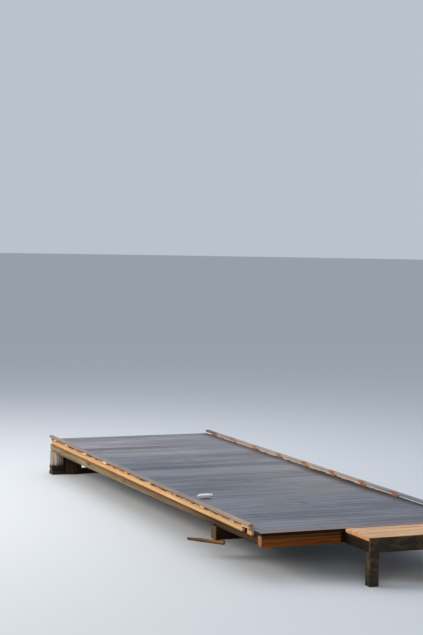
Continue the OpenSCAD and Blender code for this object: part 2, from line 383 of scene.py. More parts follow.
def deck_touches(look):
    """Boards of many tints, wide dark bands, nail stains and dark board edges, with painted sheen at the
    far end, painted shade over much of the deck, and dirt and painted shade along the rails.
    """
    x, y = look.x, look.y
    browner, paler, warmer = chances(look.tone)
    look.blend(browner.step(0.55, 0.95, 0.2), (100, 92, 94))
    look.blend(paler.step(0.7, 0.98, 0.16), (160, 160, 166))
    look.blend(warmer.step(0.7, 0.95, 0.2), (128, 114, 110))
    damp = cloud(look.place, (0.45, 2.6, 1.0), detail=1)
    look.blend(damp.step(0.52, 0.36, 0.6), (92, 90, 96))
    look.blend(damp.step(0.55, 0.70, 0.5), (150, 144, 144))
    dark_bands = y.near(0.17, *DARK_BANDS) * x.step(0.8, -0.4, 0.8, 0.2)
    look.blend(dark_bands, (80, 78, 82))
    # Painted sheen: the far end is paler, most on the left, as the sky's sheen on boards seen at a low
    # angle
    painted_sheen = y.step(2.42, 2.60) * y.step(3.2, 2.8, least=0.25) * x.step(0.4, -0.8, 0.22, 0.08)
    look.blend(painted_sheen, (190, 186, 192))
    # Painted shade: darker and cooler from the middle of the deck to the near end, and darker again in the
    # middle
    painted_shade = y.step(2.6, 1.2) * highest(x.step(0.9, -0.8), y.step(-0.7, -1.8))
    look.multiply(painted_shade, (0.70, 0.765, 0.84, 1.0))
    painted_shade_middle = y.step(0.7, 0.2) * y.step(-1.7, -1.4) * x.step(-1.0, 0.0, least=0.4)
    look.multiply(painted_shade_middle, (0.80, 0.81, 0.82, 1.0))

    # The place on each board, counted from just before its near edge
    on_board = calc("MODULO", y - (NEAR_Y - 1e-4), BOARD_PITCH)
    look.blend(on_board.near(0.016, *BOARD_NAILS) * x.near(0.014, *STRINGER_ROWS) * 0.55, (52, 46, 44))
    look.blend(on_board.near(0.012, 0.0, BOARD_W) * 0.10, (66, 62, 62))
    look.blend((y + look.patches * 0.06).step(NEAR_Y + 0.30, NEAR_Y + 0.06, 0.55), (140, 112, 102))

    # The dirt and painted shade dull the shine as well, so their edge has its own noise and not a group's
    # Dirt and painted shade: a band along the right rail, and painted shade on the deck under the left
    # rail
    edge = ragged(x, cloud(look.grain, (1.6, 70, 70)), 0.03)
    from_worst = abs(y - WIDEST_DIRT_AND_SHADE_Y)
    reach = highest(from_worst.step(2.0, 0.4, 0.21, 0.09), y.step(0.6, 1.1, 0.15))
    most = highest(from_worst.step(2.0, 0.4, 0.9, 0.4), y.step(0.6, 1.1, 0.62))
    right = most * (EDGE_X - 0.02 - edge).step(reach, 0.0)
    left = edge.step(0.050 - EDGE_X, 0.040 - EDGE_X, 0.2)
    dirt = y.step(NEAR_Y + 0.14, NEAR_Y + 0.24) * highest(right, left)
    look.blend(dirt, (66, 58, 54))
    look.blend(look.cut * 0.9, (24, 23, 28))
    front = y.step(NEAR_Y + 0.0035, NEAR_Y + 0.0022)
    look.blend(front, (50, 30, 11))
    look.dull(highest(front, dirt, look.cut))


def log_touches(look):
    """Dark and damp low down, browner and then darker towards the near end, with painted light from below
    on the lower side and a painted shadow under the strip.
    """
    y, z = look.y, look.z
    level = ragged(z, look.patches, 0.05)
    look.blend(level.step(0.13, 0.05, 0.75), (84, 70, 54))
    green = level.step(0.02, 0.05) * level.step(0.10, 0.06, 0.35)
    look.blend(green, (74, 78, 44))
    look.blend(y.step(2.2, -1.0, 0.6), (136, 104, 66))
    # Painted light from below: the lower side is paler in the middle of the jetty, as if lit by the water
    pale = z.step(0.320, 0.285, 0.4) * z.step(0.20, 0.24) * y.step(-1.2, 0.4) * y.step(2.9, 1.7)
    look.blend(pale, (214, 188, 146))

    upper = ragged(z, look.broad, 0.02)
    hewn_top = upper.step(0.334, 0.350, 0.85)
    look.blend(hewn_top, (176, 128, 74))
    # Painted shadow of the strip on the stringer's upper side, reaching lower towards the near end
    strip_shadow = upper.near(0.015, 0.343) * y.step(2.8, 0.0, 0.95, 0.5)
    look.blend(strip_shadow, (76, 52, 24))
    look.blend(upper.near(0.026, 0.318) * y.step(1.4, 0.6, 0.6), (112, 84, 50))
    near_end = y.step(-0.9, -2.0, 0.9)
    look.blend(near_end, (68, 48, 22))
    look.dull(near_end * 0.6)


def post_touches(look):
    """Rotten dark patches, and dark below."""
    look.blend(look.patches.step(0.58, 0.68, 0.5), (104, 80, 62))
    look.blend(ragged(look.z, look.patches, 0.10).step(0.17, 0.10, 0.85), (52, 38, 28))


def step_touches(look):
    """Old stain in blotches, and dirt and damp on the lower part."""
    blotch = cloud(look.place, (9, 16, 16))
    look.blend(blotch.step(0.44, 0.62, 0.7), (100, 84, 56))
    look.blend(blotch.step(0.50, 0.32, 0.7), (34, 24, 18))
    look.blend(ragged(look.z, look.patches, 0.15).step(0.16, 0.02, 0.6), (34, 27, 20))
    look.dull(blotch.step(0.3, 0.7, 0.6))


def pole_touches(look):
    """Darker towards the thin outer end."""
    look.blend(abs(look.x).step(0.96, 1.13, 0.9), (74, 52, 30))


def dirty_touches(look):
    """Dirty all over, with little shine."""
    look.shine = DIRTY_SHINE


def rail_touches(look):
    """Grey on top and in patches. The right one is all grey at its near end, and stained by its blocks."""
    y, right, uncut = look.y, look.on_right(), look.cut.step(0.4, 0.0)
    look.blend(right * 0.45, (196, 174, 156))
    look.blend(uncut * y.step(-1.8, -2.6, 0.6), (180, 150, 126))
    middle = y.step(-2.1, -1.1) * y.step(2.9, 2.0)
    top = look.z.step(rail_high.z - 0.006, rail_high.z - 0.001) * (middle * 0.6 + 0.3)
    top = top * (1.0 - right * 0.6)
    look.blend(highest(look.patches.step(0.48, 0.68, 0.6), top) * uncut, (110, 107, 108))
    look.blend(right * y.step(-0.7, -1.6, 0.9), (112, 120, 128))
    look.blend(right * y.step(1.6, 3.0, 0.5), (132, 122, 116))
    look.blend(right * y.step(3.05, 3.15, 0.75), (92, 70, 54))
    # Each block's middle lies half a pitch past where this starts again from 0
    pitch = BLOCK_STEPS["right"][1]
    past_block = calc("MODULO", y - (block_places("right")[-1] - 1.5 * pitch), pitch)
    stained = past_block.near(0.10, pitch / 2) * y.step(-2.1, -1.7) * y.step(1.6, 0.8, least=0.6)
    look.blend(stained * right * uncut * 0.85, (150, 88, 38))


def strip_touches(look):
    """Paler towards the near end, and darker at the far end, along the upper edge and on the lower edge at
    the near end. The top, seen only through the slot under the rail, carries painted shade, with dirt at
    the right one's near end.
    """
    y, z = look.y, look.z
    look.blend(y.step(2.6, -0.6, 0.25), (255, 206, 132))
    look.blend(y.step(1.6, 2.8, 0.2), (184, 140, 98))
    look.blend(z.step(strip_high.z - 0.024, strip_high.z - 0.003, 0.6), (150, 106, 62))
    low = z.step(strip_low.z + 0.016, strip_low.z + 0.004) * y.step(-1.2, -2.2, 0.75)
    look.blend(low, (116, 82, 44))
    # Painted shade on the top in the slot under the rail: dark and pale dashes, dark grey with dirt at the
    # right near end
    dark = look.on_right() * y.step(-0.9, -1.6)
    dashes = cloud(look.place, (0, 4.5, 0), detail=1).step(0.45, 0.55)
    dirt = mix(dark, mix(dashes, rgb(96, 66, 42), rgb(246, 196, 140)), rgb(58, 60, 68))
    top = z.step(strip_high.z - 0.004, strip_high.z - 0.001, 0.8)
    look.blend(top, dirt)
    look.dull(dark * top)


def beam_touches(look):
    """Painted shade along the top, under the boards, and nearly black beside the step."""
    long_side = 1.0 - look.cut
    level = ragged(look.z, look.patches, 0.03)
    # Painted shade along the top of the long sides, under the boards
    look.blend(long_side * level.step(BEAM_TOP - 0.034, BEAM_TOP - 0.020, 0.6), (44, 26, 8))
    # Painted shade: nearly black in the corner beside the step
    corner = look.x.step(step_low.x - 0.050, step_low.x - 0.036, 0.9)
    look.blend(corner, (16, 12, 10))
    look.dull(highest(corner, long_side * 0.55))


def block_touches(look):
    """Some blocks are paler or more orange than others, by their tone, and the right ones are darker."""
    look.blend(look.on_right(0.5), (156, 96, 46))
    look.blend(look.tone.step(0.2, 1.6), (250, 236, 216))
    look.blend(look.tone.step(-0.2, -1.0, 0.7), (176, 104, 56))


# The woods, and what several share
PINE = {"ring": 0.0038, "crack_width": 0.010, "rough": (0.55, 0.8), "bump": 0.0006}
DARK = {"ring": 0.0045, "crack_width": 0.024, "knot_amount": 0.25, "tone_share": 0.15,
        "rough": (0.65, 0.9), "bump": 0.0012}
ROUND = {"crack_width": 0.03, "patch_share": 0.7, "rough": (0.65, 0.9), "bump": 0.002}

GREY_BOARD = wood(
    "grey_board", light=(146, 147, 153), dark=(118, 117, 122), late=(104, 98, 98), crack=(38, 37, 38),
    knot=(72, 64, 62), worn=(164, 162, 162), end=(104, 96, 90), ring=0.0045, late_share=0.25,
    crack_width=0.014, knot_amount=0.22, tone_share=0.045, rough=(0.5, 0.8), bump=0.0012,
    touches=deck_touches)
FRESH_PINE = wood(
    "fresh_pine", light=(240, 198, 134), dark=(222, 168, 104), late=(184, 108, 54), crack=(96, 58, 32),
    knot=(120, 66, 34), worn=(226, 186, 140), end=(196, 112, 56), late_share=0.55, crack_share=0.7,
    tone_share=0.10, touches=strip_touches, **PINE)
RAIL_PINE = wood(
    "rail_pine", light=(176, 148, 124), dark=(150, 120, 96), late=(134, 96, 68), crack=(64, 46, 34),
    knot=(96, 62, 40), worn=(172, 148, 126), end=(190, 92, 24), ring=0.0038, crack_width=0.012,
    crack_share=0.8, tone_share=0.06, rough=(0.55, 0.85), bump=0.0008, touches=rail_touches)
BLOCK_PINE = wood(
    "block_pine", light=(232, 186, 130), dark=(214, 160, 104), late=(184, 120, 68), crack=(90, 56, 32),
    knot=(110, 62, 34), worn=(228, 192, 150), end=(206, 132, 76), crack_share=0.6, knot_amount=0.1,
    tone_share=0.05, touches=block_touches, **PINE)
PALE_PINE = wood(
    "pale_pine", light=(241, 208, 164), dark=(184, 137, 88), late=(186, 114, 62), crack=(110, 72, 46),
    knot=(136, 84, 50), worn=(226, 176, 122), end=(224, 94, 18), ring=0.006, late_share=0.55,
    crack_width=0.010, crack_share=0.6, rough=(0.5, 0.75), bump=0.0006)
SHORE_BEAM = wood(
    "shore_beam", light=(142, 80, 27), dark=(98, 50, 13), late=(68, 33, 8), crack=(26, 16, 10),
    knot=(52, 28, 16), worn=(140, 88, 44), end=(178, 122, 68), ring=0.005, late_share=0.35,
    crack_width=0.022, touches=beam_touches)
# Painted shade: the bearer's long sides are nearly black-brown, as the shade under the deck; its cut ends
# are lighter
BROWN_BEAM = wood(
    "brown_beam", light=(54, 39, 20), dark=(36, 24, 12), late=(36, 25, 15), crack=(18, 12, 8),
    knot=(36, 24, 14), worn=(92, 76, 50), end=(114, 90, 54), ring=0.005, late_share=0.5,
    crack_width=0.022, touches=dirty_touches)
DARK_TIMBER = wood(
    "dark_timber", light=(56, 43, 29), dark=(35, 26, 16), late=(28, 21, 15), crack=(14, 12, 10),
    knot=(30, 24, 18), worn=(84, 70, 50), end=(96, 74, 52), touches=step_touches, **DARK)
# Painted shade: the step's dark timber made darker still for the joists, as the shade under the step's
# boards
DARK_JOIST = wood(
    "dark_joist", light=(48, 35, 22), dark=(32, 23, 14), late=(24, 17, 11), crack=(10, 8, 6),
    knot=(20, 15, 10), worn=(60, 46, 30), end=(60, 44, 30), touches=dirty_touches, **DARK)
OLD_LOG = wood(
    "old_log", light=(190, 168, 126), dark=(140, 118, 82), late=(104, 84, 56), crack=(30, 26, 20),
    knot=(64, 50, 38), worn=(176, 168, 146), end=(150, 130, 104), ring=0.0035, late_share=0.25,
    knot_amount=0.35, touches=log_touches, **ROUND)
# Painted light: the posts are painted very pale, so that their dim sides under the deck read lit
POST_LOG = wood(
    "post_log", light=(238, 222, 206), dark=(196, 174, 154), late=(136, 110, 90), crack=(34, 26, 20),
    knot=(64, 48, 38), worn=(190, 172, 158), end=(150, 126, 104), late_share=0.3, tone_share=0.08,
    touches=post_touches, **ROUND)
# Painted shade: the stubs and the lake sill are the same old logs as the posts, painted dark brown as the
# shade under the far end
STUB_LOG = wood(
    "stub_log", light=(74, 58, 45), dark=(49, 37, 28), late=(39, 28, 19), crack=(18, 12, 8),
    knot=(34, 24, 16), worn=(96, 78, 62), end=(104, 86, 70), late_share=0.3, knot_amount=0.35,
    tone_share=0.08, touches=dirty_touches, **ROUND)
POLE_WOOD = wood(
    "pole_wood", light=(186, 138, 78), dark=(148, 104, 54), late=(116, 80, 42), crack=(48, 32, 18),
    knot=(80, 52, 28), worn=(204, 162, 106), end=(190, 142, 88), ring=0.0035, late_share=0.3,
    knot_amount=0.4, tone_share=0.08, touches=pole_touches)


def metal(name, base, patina, share, metallic, rough, shade_below=None):
    """Painted or plain metal with a worn, spotted surface, and painted shade below a height."""
    material, shader = new_material(name)
    place = object_place(material.node_tree)
    spots = cloud(place, (160, 160, 160), detail=4, rough=0.65)
    broad = cloud(place, (28, 28, 28)).step(0.3, 0.7)
    shaded = [value * 0.9 for value in rgb(*base)[:3]]
    colour = mix(broad, rgb(*base), (*shaded, 1.0))
    colour = mix(spots.step(0.5, 0.68, share), colour, rgb(*patina))
    # Painted shade: darker below the height, under the cleat's bar
    if shade_below:
        low = split(place)[2].step(shade_below + 0.004, shade_below, 0.9)
        colour = mix(low, colour, rgb(60, 56, 52))
    feed(shader, {"Base Color": colour, "Metallic": metallic, "Normal": bumped(spots, 0.0004, 0.5),
                  "Roughness": broad * (rough[1] - rough[0]) + rough[0]})
    return material


CLEAT_METAL = metal("cleat_metal", (252, 252, 248), (196, 192, 178), 0.2, 0.0, (0.35, 0.55),
                    shade_below=DECK_Z + 0.008)
NAIL_STEEL = metal("nail_steel", (120, 116, 110), (86, 52, 34), 0.9, 0.6, (0.45, 0.7))


# Meshes and pieces
def new_object(name, data):
    """An object in the scene."""
    made = bpy.data.objects.new(name, data)
    scene.collection.objects.link(made)
    return made


def applied(holder):
    """The plain mesh that an object's modifiers make. The object and its own mesh are removed."""
    ready = holder.evaluated_get(bpy.context.evaluated_depsgraph_get())
    mesh, source = bpy.data.meshes.new_from_object(ready), holder.data
    bpy.data.objects.remove(holder)
    bpy.data.meshes.remove(source)
    return mesh


def place_piece(name, mesh, material, slot, *nodes):
    """Puts a finished mesh in the scene, on the one body, in place of its CAD nodes."""
    piece = new_object(name, mesh)
    mesh.name = name
    mesh.materials.clear()
    mesh.materials.append(material)
    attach(piece, "root")
    if nodes:
        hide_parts(*nodes)


def write(mesh, name, kind, domain, values):
    """Stores an attribute on a mesh."""
    layer = mesh.attributes.new(name, kind, domain)
    key = "vector" if kind == "FLOAT_VECTOR" else "value"
    layer.data.foreach_set(key, np.array(values, np.float32).ravel())


def write_wood(mesh, grain, wear, tone, cut):
    """Stores what the woods read: grain and wear for each point, tone and cut for each face."""
    write(mesh, GRAIN, "FLOAT_VECTOR", "POINT", grain)
    write(mesh, WEAR, "FLOAT", "POINT", wear)
    write(mesh, TONE, "FLOAT", "FACE", tone)
    write(mesh, CUT, "FLOAT", "FACE", cut)


def read(items, key, width, kind=np.float32):
    """A value of every vertex, edge or face, one row each."""
    flat = np.empty(len(items) * width, kind)
    items.foreach_get(key, flat)
    return flat.reshape(-1, width)


def mend(mesh, mending):
    """Changes a mesh through a bmesh."""
    bm = bmesh.new()
    bm.from_mesh(mesh)
    mending(bm)
    bm.to_mesh(mesh)
    bm.free()


def turn_outward(bm):
    bmesh.ops.recalc_face_normals(bm, faces=bm.faces)


def merge_doubles(bm):
    bmesh.ops.remove_doubles(bm, verts=bm.verts, dist=1e-5)


# How far the wear reaches in from a sawn edge, and how far each timber's grain may be slid along
WORN_EDGE, GRAIN_SLIDE = 0.011, 40
# Logs: the spacing of their points, the heart's offset, the bumps over old branches, and the eased rim
LOG_SPACING, LOG_HEART = 0.035, (-0.006, 0.004)
BUDS_PER_METRE, BUD_HEIGHT, BUD_RADII = 3.5, 0.0012, (0.012, 0.022)
RIM_EASE, RIM_INSET = 0.004, 0.003
# Pieces from a solid: how fine their dents are, and their share of that along the grain
DENTS_PER_METRE, DENT_STRETCH = 22.0, 0.35


class Timber:
    """Points, faces and wood attributes of one piece, which may hold several timbers."""

    def __init__(self):
        self.points, self.grain, self.wear = [], [], []
        self.faces, self.tone, self.cut = [], [], []

    def point(self, place, grain, wear=0.0):
        """Adds a point and returns its number."""
        self.points.append(tuple(place))
        self.grain.append(tuple(grain))
        self.wear.append(wear)
        return len(self.points) - 1

    def face(self, corners, tone, cut=0.0):
        """Adds a face between points, cut 1 where it is a cut end."""
        self.faces.append(corners)
        self.tone.append(tone)
        self.cut.append(cut)

    def skin(self, rings, tone, rim_cut=0.0):
        """Faces from each ring of points to the next, the first and last rows with the cut of the rim."""
        count = len(rings[0])
        for k, (near, far) in enumerate(zip(rings, rings[1:])):
            cut = rim_cut if k in (0, len(rings) - 2) else 0.0
            for i in range(count):
                j = (i + 1) % count
                self.face((near[i], near[j], far[j], far[i]), tone, cut)

    def mesh(self, smooth=False):
        """The piece as a mesh, smooth but for its cut ends where asked."""
        mesh = bpy.data.meshes.new("timber")
        mesh.from_pydata(self.points, [], self.faces)
        write_wood(mesh, self.grain, self.wear, self.tone, self.cut)
        mend(mesh, turn_outward)
        mesh.polygons.foreach_set("use_smooth", [smooth and cut < 0.5 for cut in self.cut])
        return mesh


def outline(half_a, half_b, ease):
    """A rectangle's outline with rounded corners: (a, b, wear) for each point."""
    found = []
    for sign_a, sign_b, turn in ((1, 1, 0), (-1, 1, 90), (-1, -1, 180), (1, -1, 270)):
        for k in range(3):
            angle = math.radians(turn + 45 * k)
            found.append((sign_a * (half_a - ease) + ease * math.cos(angle),
                          sign_b * (half_b - ease) + ease * math.sin(angle), 1.0 if k == 1 else 0.6))
        along_a = sign_a == sign_b
        half = half_a if along_a else half_b
        run = half - min(WORN_EDGE, 0.7 * half)
        for way in (1, -1):
            if along_a:
                found.append((way * sign_a * run, sign_b * half_b, 0.0))
            else:
                found.append((sign_a * half_a, way * sign_b * run, 0.0))
    return found


def stations(length, ease, spacing):
    """Places along a timber: its two cut ends, just inside them, and evenly between."""
    count = max(2, round(length / spacing))
    inner = [ease + (length - 2 * ease) * k / count for k in range(count + 1)]
    return [0.0] + inner + [length]


def bar(stock, low, high, axis, seed, ease=0.003, wander=0.0008, spacing=0.12, heart=None, cup=0.0,
        tone=None):
    """A sawn timber between two corners, with eased edges, and its grain along an axis."""
    rng = random.Random(seed)
    a, b = ACROSS[axis]
    low, high = Vector(low), Vector(high)
    mid_a, mid_b = (low[a] + high[a]) / 2, (low[b] + high[b]) / 2
    half_a, half_b = (high[a] - low[a]) / 2 - wander, (high[b] - low[b]) / 2 - wander
    if heart is None:
        heart = (rng.uniform(-0.035, 0.035), rng.choice((-1, 1)) * rng.uniform(0.03, 0.08))
    shift, any_tone = rng.uniform(-GRAIN_SLIDE, GRAIN_SLIDE), rng.uniform(-1, 1)
    tone = any_tone if tone is None else tone
    rings = []
    places = stations(high[axis] - low[axis], ease, spacing)
    for t in places:
        at_end = t in (places[0], places[-1])
        inset = ease * 0.8 if at_end else 0.0
        off_a = wander * noise.noise(Vector((t * 2.1, seed * 0.37, 1.7)))
        off_b = wander * noise.noise(Vector((t * 1.7, seed * 0.53, 8.3)))
        ring = []
        for pa, pb, worn in outline(half_a - inset, half_b - inset, ease):
            place = Vector((0, 0, 0))
            place[axis] = low[axis] + t
            place[a] = mid_a + pa + off_a
            place[b] = mid_b + pb + off_b + cup * ((pa / half_a) ** 2 - 1.0)
            ring.append(stock.point(place, (t + shift, pa - heart[0], pb - heart[1]),
                                    max(worn, 0.7) if at_end else worn))
        rings.append(ring)
    stock.skin(rings, tone, rim_cut=0.5)
    stock.face(tuple(reversed(rings[0])), tone, 1.0)
    stock.face(tuple(rings[-1]), tone, 1.0)


def log(stock, start, end, radius_start, radius_end, flats, seed, lumps=0.0022, sides=44):
    """A log between two points, tapered, uneven, and hewn to flats given as (outward normal, distance)."""
    rng = random.Random(seed)
    start, end = Vector(start), Vector(end)
    along = (end - start).normalized()
    side = along.cross(Vector(UP))
    side = side.normalized() if side.length > 0.1 else Vector((1, 0, 0))
    up = side.cross(along)
    length = (end - start).length
    shift, tone = rng.uniform(-GRAIN_SLIDE, GRAIN_SLIDE), rng.uniform(-1, 1)
    buds = [(rng.uniform(0.1, length), rng.uniform(0, math.tau), rng.uniform(*BUD_RADII))
            for _ in range(int(length * BUDS_PER_METRE))]

    def point(place, t, wear=0.0):
        local = place - start - along * t
        grain = (t + shift, local.dot(side) - LOG_HEART[0], local.dot(up) - LOG_HEART[1])
        return stock.point(place, grain, wear)

    rings = []
    places = stations(length, RIM_EASE, LOG_SPACING)
    for t in places:
        at_end = t in (places[0], places[-1])
        radius = radius_start + (radius_end - radius_start) * t / length
        ring = []
        for i in range(sides):
            angle = math.tau * i / sides
            out = side * math.cos(angle) + up * math.sin(angle)
            broad = noise.noise(out * 1.6 + Vector((t * 1.4, seed * 1.3, 0)))
            ridge = noise.noise(out * 9.0 + Vector((t * 2.2, seed * 2.1, 4)))
            r = radius + lumps * (0.8 * broad + 0.4 * ridge - 0.3)
            for bud_t, bud_angle, bud_r in buds:
                if abs(t - bud_t) < 3 * bud_r:
                    turn = (angle - bud_angle + math.pi) % math.tau - math.pi
                    away = ((t - bud_t) ** 2 + (turn * radius) ** 2) / bud_r ** 2
                    r += BUD_HEIGHT * math.exp(-away)
            r = min(r, radius) - (RIM_INSET if at_end else 0.0)
            place = start + along * t + out * r
            for normal, distance in flats:
                over = place.dot(Vector(normal)) - distance
                if over > 0:
                    place = place - Vector(normal) * over
            ring.append(point(place, t, 0.8 if at_end else 0.0))
        rings.append(ring)
    stock.skin(rings, tone)
    for ring, t in ((rings[0], 0.0), (rings[-1], length)):
        hub = point(sum((Vector(stock.points[i]) for i in ring), Vector()) / sides, t)
        for i in range(sides):
            stock.face((ring[i], ring[(i + 1) % sides], hub), tone, 1.0)


def worn_corners(mesh, places, normals, voxel):
    """Wear from 0 to 1 at each point, by how far it stands out over the points around it."""
    ends = read(mesh.edges, "vertices", 2, np.int32)
    around, total = np.zeros(places.shape), np.zeros(len(places))
    for near, far in ((0, 1), (1, 0)):
        np.add.at(around, ends[:, near], places[ends[:, far]])
        np.add.at(total, ends[:, near], 1)
    bulge = ((places - around / total[:, None]) * normals).sum(1) / voxel
    return np.clip((bulge - 0.04) * 5.0, 0, 1)


def from_solid(node, axis, seed, voxel, lumps, heart, smooth_steps=2):
    """A mesh from a CAD node's solid, remeshed and a little uneven, with its grain along an axis."""
    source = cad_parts[node].data.copy()
    mend(source, merge_doubles)
    scratch = new_object(node + "_scratch", source)
    even = scratch.modifiers.new("even", "REMESH")
    even.mode, even.voxel_size, even.use_smooth_shade = "VOXEL", voxel, True
    relax = scratch.modifiers.new("relax", "SMOOTH")
    relax.factor, relax.iterations = 0.5, smooth_steps
    mesh = applied(scratch)

    places = read(mesh.vertices, "co", 3).astype(float)
    normals = read(mesh.vertices, "normal", 3).astype(float)
    wear = worn_corners(mesh, places, normals, voxel)
    a, b = ACROSS[axis]
    middle = (places.min(0) + places.max(0)) / 2
    shift = random.Random(seed).uniform(-GRAIN_SLIDE, GRAIN_SLIDE)
    grain = np.stack([places[:, axis] + shift, places[:, a] - middle[a] + heart[0],
                      places[:, b] - middle[b] + heart[1]], 1)
    scale = np.full(3, DENTS_PER_METRE)
    scale[axis] *= DENT_STRETCH
    for place, normal in zip(places, normals):
        depth = 0.5 - 0.5 * noise.noise(Vector(place * scale) + Vector((seed, 0, 0)))
        place -= normal * lumps * depth
    mesh.vertices.foreach_set("co", places.astype(np.float32).ravel())
    cut = np.abs(read(mesh.polygons, "normal", 3)[:, axis]) > 0.8
    tone = random.Random(seed + 1).uniform(-1, 1)
    write_wood(mesh, grain, wear, np.full(len(cut), tone), cut)
    mesh.update()
    return mesh


# Deck
for bay in range(BAYS):
    boards = Timber()
    for i in range(bay * BOARD_N // BAYS, (bay + 1) * BOARD_N // BAYS):
        y = NEAR_Y + i * BOARD_PITCH
        bar(boards, (-EDGE_X, y, UNDER_DECK), (EDGE_X, y + BOARD_W, DECK_Z), ALONG_X, seed=100 + i,
            ease=0.0018, wander=0.0007, spacing=0.1, cup=0.0002)
    name = "deck_bay_%d" % (bay + 1)
    place_piece("boards_of_" + name, boards.mesh(), GREY_BOARD, "grey_board", name)

# Edge rails
for side, word in SIDES:
    x0, x1 = sorted((side * strip_low.x, side * strip_high.x))
    rail_x0, rail_x1 = sorted((side * rail_low.x, side * rail_high.x))
    strip, blocks, rail = Timber(), Timber(), Timber()
    for y0, y1, seed in ((STRIP_Y, strip_high.y, 300), (strip_low.y, strip_low.y + END_PIECE_L, 305)):
        bar(strip, (x0, y0, strip_low.z), (x1, y1, strip_high.z), ALONG_Y, seed + side, ease=0.0025)
    for k, y in enumerate(block_places(word)):
        bar(blocks, (x0, y - BLOCK_L / 2, strip_high.z), (x1, y + BLOCK_L / 2, rail_low.z), ALONG_Y,
            seed=330 + 20 * side + k, ease=0.0015, wander=0.0004,
            tone=1.6 if (word, k) == PALEST_BLOCK else None)
    bar(blocks, (x0, rail_low.y, strip_high.z), (x1, rail_low.y + END_SPACER_L, rail_low.z), ALONG_Y,
        seed=370 + side, ease=0.0015, wander=0.0004, tone=0.1)
    for y0, y1, seed in ((rail_low.y, RAIL_JOINT_Y - RAIL_JOINT_GAP, 380), (RAIL_JOINT_Y, FAR_Y, 390)):
        bar(rail, (rail_x0, y0, rail_low.z), (rail_x1, y1, rail_high.z), ALONG_Y, seed + side)
    for part, stock, material in (("edge_strip_", strip, FRESH_PINE), ("rail_blocks_", blocks, BLOCK_PINE),
                                  ("rail_", rail, RAIL_PINE)):
        place_piece("timber_of_" + part + word, stock.mesh(), material, "fresh_pine", part + word)


# Stringers
def stringer_middle(y):
    """Height of a stringer log's middle at a distance along the jetty."""
    share = (y - STRINGER_Y) / (FAR_Y - STRINGER_Y)
    return UNDER_DECK + STRINGER_FLAT - (STRINGER_TIP_D + (STRINGER_D - STRINGER_TIP_D) * share) / 2


for k, (x, word) in enumerate(zip(STRINGER_ROWS, IN_A_ROW)):
    stringer = Timber()
    log(stringer, (x, STRINGER_Y, stringer_middle(STRINGER_Y)), (x, FAR_Y, stringer_middle(FAR_Y)),
        STRINGER_TIP_D / 2, STRINGER_D / 2,
        [(UP, UNDER_DECK), ((0, 1, 0), FAR_Y), ((0, -1, 0), -STRINGER_Y)], seed=400 + k)
    place_piece("log_of_stringer_" + word, stringer.mesh(smooth=True), OLD_LOG, "old_log",
                "stringer_" + word)

# Near end: the beam across it, the bearer, and the poles under the bearer's ends
shore_beam = Timber()
bar(shore_beam, *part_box("shore_beam"), ALONG_X, seed=500, ease=0.004, heart=(0.012, -0.018))
place_piece("timber_of_shore_beam", shore_beam.mesh(), SHORE_BEAM, "brown_beam", "shore_beam")
bearer = from_solid("bearer_beam", ALONG_X, seed=501, voxel=0.0065, lumps=0.002, heart=(0.01, 0.03))
place_piece("timber_of_bearer_beam", bearer, BROWN_BEAM, "brown_beam", "bearer_beam")
for side, word in SIDES:
    low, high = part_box("sill_log_" + word)
    turn = math.radians(90 - side * POLE_TURN)
    along = Vector((math.cos(turn), math.sin(turn), 0))
    middle = Vector((side * (EDGE_X + POLE_OUT), BEARER_Y, low.z + POLE_D / 2))
    thick_end = middle + along * (POLE_SLIDE - POLE_L / 2)
    pole = Timber()
    log(pole, thick_end, thick_end + along * POLE_L, POLE_D / 2, POLE_TIP_D / 2, [(UP, high.z)],
        seed=510 + side, lumps=0.001, sides=24)
    place_piece("log_of_sill_" + word, pole.mesh(smooth=True), POLE_WOOD, "old_log", "sill_log_" + word)

# Far end: the sill log, the packing on it, the posts and the stubs
low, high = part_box("lake_sill_log")
sill_y, sill_z = (low.y + high.y) / 2, high.z + SILL_FLAT - SILL_D / 2
sill = Timber()
log(sill, (low.x, sill_y, sill_z), (high.x, sill_y, sill_z), SILL_D / 2, SILL_D / 2,
    [(UP, high.z), ((0, 0, -1), 0.0)], seed=520, lumps=0.003)
place_piece("log_of_lake_sill", sill.mesh(smooth=True), STUB_LOG, "old_log", "lake_sill_log")
pad_low, pad_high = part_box("lake_packing")
packing = Timber()
for k, word in enumerate(IN_A_ROW):
    post = "lake_post_" + word
    low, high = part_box(post)
    x = (low.x + high.x) / 2
    bar(packing, (x - PAD_L / 2, pad_low.y, pad_low.z), (x + PAD_L / 2, pad_high.y, pad_high.z), ALONG_X,
        seed=530 + k, ease=0.004)
    mesh = from_solid(post, UPRIGHT, seed=540 + k, voxel=0.004, lumps=0.003, heart=(0.004, 0.006))
    place_piece("log_of_" + post, mesh, POST_LOG, "old_log", post)
place_piece("timber_of_lake_packing", packing.mesh(), DARK_TIMBER, "dark_timber", "lake_packing")
for k, stub in enumerate(("lake_stub_left", "lake_stub_right")):
    mesh = from_solid(stub, UPRIGHT, seed=550 + k, voxel=0.004, lumps=0.004, heart=(0.008, 0.004))
    place_piece("log_of_" + stub, mesh, STUB_LOG, "old_log", stub)

